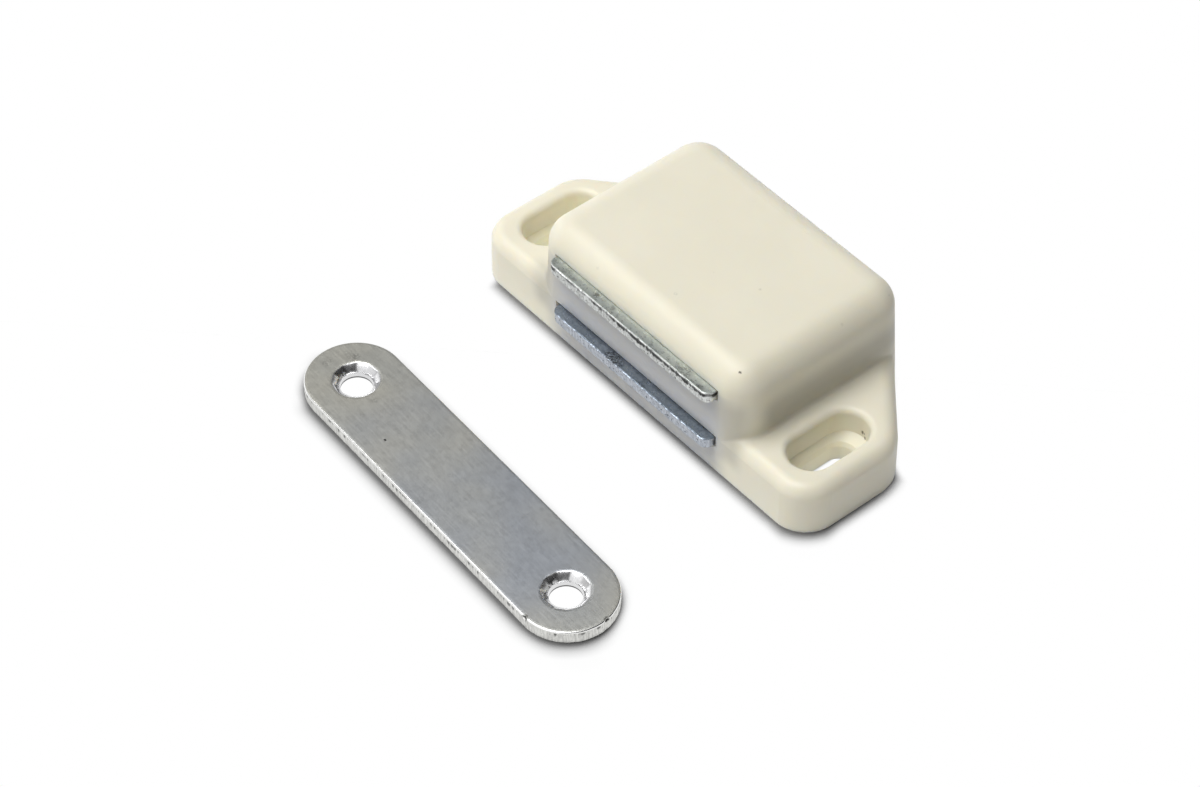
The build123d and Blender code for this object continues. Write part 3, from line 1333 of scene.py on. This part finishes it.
@dataclass
class CounterPlate:
    """The zinc-plated strip that the poles hold, with its two countersunk holes.

    Attributes:
        node: The solid that it stands for.
        length: Overall length.
        width: Strip width, and twice the end radius.
        hole_spacing: Between the hole centres.
        roll: Height of the rolled-over top edge.
        yaw: Turn about Z in degrees.
        edge_noise: Pattern of its sheared edge.
        step: Longest segment of its straight sides.
        end_steps: Segments in each quarter of its round ends.
        nick_radius: Reach of a nick along the edge.
    """

    node: str = "strike_plate"
    length: float = 53.0 * MM
    width: float = 12.0 * MM
    hole_spacing: float = 40.5 * MM
    roll: float = 0.2 * MM
    yaw: float = -2.45
    edge_noise: Raggedness = Raggedness(31.0)
    step: float = 0.10 * MM
    end_steps: int = 90
    nick_radius: float = 0.55 * MM

    def centre(self) -> Vector:
        """Return the strip's plan centre from its solid's box."""
        low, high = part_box(self.node)
        return Vector(((low.x + high.x) / 2, (low.y + high.y) / 2))

    def turn(self) -> Matrix:
        """Return the strip's turn in plan."""
        return Matrix.Rotation(math.radians(self.yaw), 2)

    def outline(self) -> Loop:
        """Return the strip's rounded outline, turned and in its place."""
        x, y = self.length / 2, self.width / 2
        radius = y - 0.001 * MM
        ends = [(-x, -y, radius), (x, -y, radius), (x, y, radius), (-x, y, radius)]
        loop = rounded_outline(ends, self.step, self.end_steps)
        turn, centre = self.turn(), self.centre()
        return Loop([turn @ p + centre for p in loop.points], [turn @ n for n in loop.normals])

    def holes(self) -> list[Countersink]:
        """Return the two countersunk holes."""
        spread = self.hole_spacing / 2
        ends = ((-spread, 0.35), (spread, 1.15))
        return [Countersink(self.turn() @ Vector((x, 0.0)) + self.centre(), seed) for x, seed in ends]

    def nicked(self, base: Profile, depth: float) -> Profile:
        """Add the edge's two nicks to a profile.

        Args:
            base: The profile without them.
            depth: What a nick adds in its middle.

        Returns:
            The profile.
        """
        low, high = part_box(self.node)
        nicks = Vector((high.x - 6.24 * MM, low.y)), Vector((high.x + 0.1 * MM, low.y + 6.89 * MM))
        return lambda point: base(point) + depth * max(self.dent(point - nick) for nick in nicks)

    def dent(self, away: Vector) -> float:
        """Return the share of a nick's depth at a step away from its middle."""
        return max(0.0, 1.0 - away.length / self.nick_radius)

    def speck(self, point: Vector, rare: float) -> float:
        """Return how much of a dark speck a place has; the specks lie in loose clusters.

        Args:
            point: The place in plan.
            rare: Noise level above which a speck shows.

        Returns:
            The share, 0 to 1.
        """
        clusters = 0.45 * self.edge_noise.noise(point, 260.0, 5.0) - 0.22
        return min(1.0, max(0.0, 6.0 * (self.edge_noise.noise(point, 2700.0, 9.0) + clusters - rare)))

    def specks(self, amount: float, rare: float) -> Profile:
        """Return the specks as wear_and_shade.

        Args:
            amount: How dark they are.
            rare: Noise level above which a speck shows.

        Returns:
            The profile.
        """
        return lambda point: amount * self.speck(point, rare)

    def rings(self) -> list[Ring]:
        """Return the sheared edge's rings from the bottom up: break, specked band and rolled edge."""
        low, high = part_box(self.node)
        size = high.z - low.z
        noisy = self.edge_noise.rough
        rings = [Ring(noisy(0.05 * MM, 0.04 * MM, 1500), level(low.z))]
        for k in range(4):
            height = level(low.z + (0.06 + 0.12 * k) * size)
            rings.append(Ring(noisy(0.0, 0.06 * MM, 2200, 0.7 * k), height, Band.EDGE, level(0.3 - 0.1 * k)))
        for inset, share, depth, amount, rare in (
            (0.02 * MM, 0.52, 0.14 * MM, 0.45, 0.66),
            (0.01 * MM, 0.66, 0.12 * MM, 0.6, 0.56),
            (0.01 * MM, 0.79, 0.08 * MM, 0.6, 0.50),
        ):
            height = noisy(low.z + share * size, depth, 1900)
            rings.append(Ring(level(inset), height, Band.EDGE, self.specks(amount, rare)))
        for k in range(5):
            angle = math.radians(22.5 * k)
            inset = noisy(self.roll * (1 - math.cos(angle)), 0.03 * MM * math.cos(angle), 1500)
            inset = self.nicked(inset, (1 - 0.15 * k) * 0.3 * MM)
            height = level(high.z - self.roll * (1 - math.sin(angle)))
            polish = self.nicked(level(-0.9 if 0 < k < 4 else 0.0), 1.5)
            rings.append(Ring(inset, height, Band.EDGE if k < 2 else Band.FACE, polish))
        rings.append(Ring(level(0.5 * MM), level(high.z)))
        return rings

    def marks(self) -> Marks:
        """Return the strip's small stains, placed from its box."""
        low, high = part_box(self.node)
        spots = (
            (15.98, 4.48, 0.0, 0.24, 0.95),
            (11.2, 4.9, 0.0, 0.5, 0.15),
            (25.02, 6.84, 0.0, 0.5, 0.15),
            (1.76, 6.87, 0.0, 1.0, 0.2),
            (2.73, 9.66, 0.0, 1.1, 0.2),
            (3.3, 10.02, 0.0, 0.7, 0.25),
            (10.2, 7.4, 0.0, 0.6, 0.2),
            (25.8, 1.9, 0.0, 0.6, 0.12),
        )
        return marks_from(Vector((low.x, low.y, high.z)), spots)

    def build(self) -> bpy.types.Object:
        """Build the strip and put it in its solid's place."""
        low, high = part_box(self.node)
        sheet = SheetMesh("counter_plate_blank")
        sheet.wall(self.outline(), self.rings())
        for hole in self.holes():
            sheet.wall(hole.outline(), hole.rings(low.z, high.z), True)
        dull_centre = (*(self.centre() + Vector((4.0 * MM, 0.0))), 0.0)
        face = PlatedSteel(
            "zinc_strip",
            (0.54, 0.525, 0.46),
            (0.485, 0.485, 0.45),
            (0.33, 0.33, 0.30),
            roughness=0.42,
            pores=0.2,
            mottling=0.07,
            along=math.radians(self.yaw),
            marks=self.marks(),
            dull=(Vector(dull_centre), 26.0 * MM),
        )
        edge = ShearedSteel(
            "zinc_strip_edge", (0.74, 0.74, 0.71), (0.54, 0.54, 0.52), (0.02, 0.02, 0.02), 0.5
        )
        bore = PlatedSteel(
            "zinc_countersink",
            (0.80, 0.80, 0.80),
            (0.72, 0.72, 0.73),
            (0.3, 0.3, 0.3),
            roughness=0.26,
            pores=0.0,
            mottling=0.06,
        )
        piece = sheet.finish((face.material(), edge.material(), bore.material()), 35)
        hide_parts(self.node)
        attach(piece, "housing")
        return piece


# --- Studio ---


@dataclass(frozen=True)
class Lamp:
    """A square soft light.

    Attributes:
        name: Its name.
        place: Where it hangs.
        size: Side length.
        watts: Power.
    """

    name: str
    place: tuple[float, float, float]
    size: float
    watts: float

    def hang(self, target: Vector) -> bpy.types.Object:
        """Add the light, aimed at a point.

        Args:
            target: The point.

        Returns:
            The light.
        """
        data = bpy.data.lights.new(self.name, "AREA")
        data.shape = "SQUARE"
        data.size = self.size
        data.energy = self.watts
        lamp = bpy.data.objects.new(self.name, data)
        lamp.location = self.place
        lamp.rotation_euler = (target - Vector(self.place)).to_track_quat("-Z", "Y").to_euler()
        bpy.context.scene.collection.objects.link(lamp)
        return lamp


@dataclass
class Studio:
    """White sweep, a soft box overhead, a weak fill from the left and the camera.

    Attributes:
        mounts: The record's mounts, for its screw slots.
        lamps: The lights.
        target: Point that the camera looks at.
        azimuth: Camera's turn about Z in degrees, 0 looking along +Y.
        elevation: Camera's height angle in degrees.
        distance: From the camera to the target.
        lens: Focal length, in millimetres.
        sensor: Sensor width, in millimetres.
        floor_size: Side length of the floor.
        floor_drop: How far the floor lies under the object.
        floor_tone: Colour of the floor where it lights the object.
        contact_tone: Colour of the floor in full contact shadow.
        shadow_reach: How far the contact shadow spreads over the floor.
        shadow_range: Openness of the floor where the shadow is full and where it ends.
        shadow_side: Direction that the contact shadow's floor leans to.
        strip_lean: How much the shadow is weaker behind the strip and stronger before it.
        strip_start: Distance before the origin over which that lean sets in.
        slot_fade: Half width of the fade round the floor seen through a screw slot.
        hole_reach: Radius of the white floor under a hole of the strip.
        bright_side: Horizontal direction of the room's brighter side.
        front_card: Direction of the white card that the metal mirrors.
    """

    mounts: list[dict]
    lamps: tuple[Lamp, ...] = (
        Lamp("overhead_softbox", (-0.11, -0.14, 0.57), 0.40, 3.25),
        Lamp("left_fill", (-0.56, -0.20, 0.20), 0.30, 0.12),
    )
    target: Vector = field(default_factory=lambda: Vector((-3.2746, -11.2103, 0.0)) * MM)
    azimuth: float = 50.0296
    elevation: float = 46.5847
    distance: float = 425.0729 * MM
    lens: float = 109.163
    sensor: float = 36.0
    floor_size: float = 6.0
    floor_drop: float = 0.02 * MM
    floor_tone: Colour = (0.94, 0.94, 0.94)
    contact_tone: Colour = (0.15, 0.15, 0.15)
    shadow_reach: float = 2.6 * MM
    shadow_range: tuple[float, float] = (0.493, 0.917)
    shadow_side: tuple[float, float, float] = (-0.47, 0.46, 0.75)
    strip_lean: float = 0.06
    strip_start: tuple[float, float] = (18.0 * MM, 24.0 * MM)
    slot_fade: float = 0.3 * MM
    hole_reach: float = 5.0 * MM
    bright_side: tuple[float, float, float] = (-0.8, -0.6, 0.0)
    front_card: tuple[float, float, float] = (-0.10, -0.82, 0.56)

    def floor(self) -> bpy.types.Object:
        """Lay the white floor, which shows its true shade only close to the object."""
        bpy.ops.mesh.primitive_plane_add(size=self.floor_size, location=(0.0, 0.0, -self.floor_drop))
        plane = bpy.context.active_object
        plane.name = "floor"
        material, g = new_material("white_sweep")
        matt = g.node("ShaderNodeBsdfDiffuse", {"Color": (*self.floor_tone, 1.0)}).outputs[0]
        shade = g.node("ShaderNodeBsdfDiffuse", {"Color": (*self.contact_tone, 1.0)}).outputs[0]
        white = g.node("ShaderNodeEmission", {"Color": (*WHITE, 1.0), "Strength": 1.0}).outputs[0]
        clear = self.clearness(g, g.place())
        seen = g.node("ShaderNodeMixShader", {0: clear, 1: shade, 2: white}).outputs[0]
        pick = g.node("ShaderNodeMixShader", {0: self.seen_directly(g), 1: matt, 2: seen})
        g.node("ShaderNodeOutputMaterial", {"Surface": pick.outputs[0]})
        plane.data.materials.append(material)
        return plane

    def clearness(self, g: Graph, where: Socket) -> Socket:
        """Return 1 where the floor is clear of the object and less in its contact shadow.

        Args:
            g: The graph to build in.
            where: The floor point.

        Returns:
            The mask.
        """
        strip = CounterPlate()
        front = strip.turn() @ Vector((0.0, -1.0))
        ahead = g.along(where, (*front, 0.0))
        axis = front.dot(strip.centre())
        lean = g.between(ahead, axis - 4 * MM, axis + 3 * MM, self.strip_lean, -self.strip_lean)
        lean = g.maths("MULTIPLY", lean, g.between(ahead, *self.strip_start))
        for spot, radius, amount in self.shade_spots():
            lean = g.maths("ADD", lean, g.maths("MULTIPLY", g.near(where, spot, radius), amount))
        inputs = {"Distance": self.shadow_reach, "Normal": self.shadow_side}
        open_share = g.node("ShaderNodeAmbientOcclusion", inputs, samples=16).outputs["AO"]
        clear = g.between(g.maths("ADD", open_share, lean), *self.shadow_range)
        for opening in self.open_holes(g, where):
            clear = g.maths("MAXIMUM", clear, opening)
        eye = g.node("ShaderNodeLightPath").outputs["Is Camera Ray"]
        return g.maths("MAXIMUM", clear, g.maths("SUBTRACT", 1.0, eye))

    def shade_spots(self) -> Marks:
        """Return where the contact shadow is weaker, or stronger where the amount is negative."""
        low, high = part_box("housing")
        left_spots = ((0.3, 0.9, 0.0, 4.5, 0.4),)
        right_spots = (
            (-0.3, 0.6, 0.0, 5.0, -0.10),
            (-2.7, 19.0, 0.0, 5.0, 0.3),
            (-6.7, 22.9, 0.0, 5.0, 0.3),
            (-11.2, 26.5, 0.0, 4.5, 0.3),
        )
        strip_spots = ((-25.4, -3.6, 0.0, 5.0, 0.1), (26.0, -3.5, 0.0, 6.5, -0.05))
        return (
            marks_from(Vector((low.x, low.y, 0.0)), left_spots)
            + marks_from(Vector((high.x, low.y, 0.0)), right_spots)
            + marks_from(CounterPlate().centre().to_3d(), strip_spots)
        )

    def open_holes(self, g: Graph, where: Socket) -> list[Socket]:
        """Return masks of the floor under the screw holes, which stays white.

        Args:
            g: The graph to build in.
            where: The floor point.

        Returns:
            One mask for each hole.
        """
        centres = [hole.centre.to_3d() for hole in CounterPlate().holes()]
        masks = [g.near(where, centre, self.hole_reach) for centre in centres]
        for mount in self.mounts:
            length = mount["dims"].get("slot_length_mm")
            if length:
                x, y = mount["pos_m"][:2]
                half = Vector((mount["dims"]["hole_r_mm"], length / 2, 1000.0)) * MM
                centre = Vector((x, y, 0.0))
                masks.append(g.inside(where, centre - half, centre + half, (self.slot_fade,) * 3))
        return masks

    def seen_directly(self, g: Graph) -> Socket:
        """Return 1 for rays that show a thing to the eye, straight, mirrored or through glass.

        Args:
            g: The graph to build in.

        Returns:
            The mask.
        """
        path = g.node("ShaderNodeLightPath").outputs
        mirrored = g.maths("MAXIMUM", path["Is Glossy Ray"], path["Is Transmission Ray"])
        return g.maths("MAXIMUM", path["Is Camera Ray"], mirrored)

    def sky(self) -> None:
        """Fill the world: a room brighter at the front left, its low backdrop seen as white."""
        world = bpy.data.worlds.new("soft_room")
        bpy.context.scene.world = world
        world.use_nodes = True
        g = Graph(world.node_tree)
        way = g.node("ShaderNodeTexCoord").outputs["Generated"]
        grey = g.mix(g.between(g.along(way, self.bright_side), -1.0, 1.0, 0.0, 0.5), (0.0, 0.0, 0.0), WHITE)
        light = g.node("ShaderNodeBackground", {"Color": grey}).outputs[0]
        white = g.node("ShaderNodeBackground", {"Color": (*WHITE, 1.0), "Strength": 1.0}).outputs[0]
        backdrop = g.between(g.height(way), 0.15, 0.45, 1.0, 0.0)
        card = g.between(g.along(way, self.front_card), 0.80, 0.92)
        mirrored = g.maths("MULTIPLY", self.seen_directly(g), g.maths("MAXIMUM", card, backdrop))
        camera = g.node("ShaderNodeLightPath").outputs["Is Camera Ray"]
        share = g.maths("MAXIMUM", camera, mirrored)
        pick = g.node("ShaderNodeMixShader", {0: share, 1: light, 2: white})
        g.node("ShaderNodeOutputWorld", {"Surface": pick.outputs[0]})

    def camera(self) -> bpy.types.Object:
        """Set up the camera."""
        turn, lift = math.radians(self.azimuth), math.radians(self.elevation)
        back = Vector((math.sin(turn), -math.cos(turn), math.tan(lift))).normalized()
        right = Vector((math.cos(turn), math.sin(turn), 0.0))
        basis = Matrix((right, back.cross(right), back)).transposed().to_4x4()
        basis.translation = self.target + back * self.distance
        data = bpy.data.cameras.new("camera")
        data.sensor_fit = "HORIZONTAL"
        data.sensor_width = self.sensor
        data.lens = self.lens
        data.clip_start = 0.01
        data.clip_end = 20.0
        camera = bpy.data.objects.new("camera", data)
        camera.matrix_world = basis
        bpy.context.scene.collection.objects.link(camera)
        bpy.context.scene.camera = camera
        return camera

    def build(self) -> None:
        """Set up floor, sky, lights and camera."""
        self.floor()
        self.sky()
        for lamp in self.lamps:
            lamp.hang(self.target)
        self.camera()
        bpy.context.scene.view_settings.view_transform = "Standard"


def main() -> None:
    """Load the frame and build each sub-assembly in order."""
    logging.basicConfig(level=logging.INFO, format="%(name)s: %(message)s")
    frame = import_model()
    Studio(frame["record"]["mounts"]).build()
    pieces = Housing().dress(frame) + MagnetPack().build(frame) + [CounterPlate().build()]
    for piece in pieces:
        log.info("%s: %d faces", piece.name, len(piece.data.polygons))


if __name__ == "__main__":
    main()
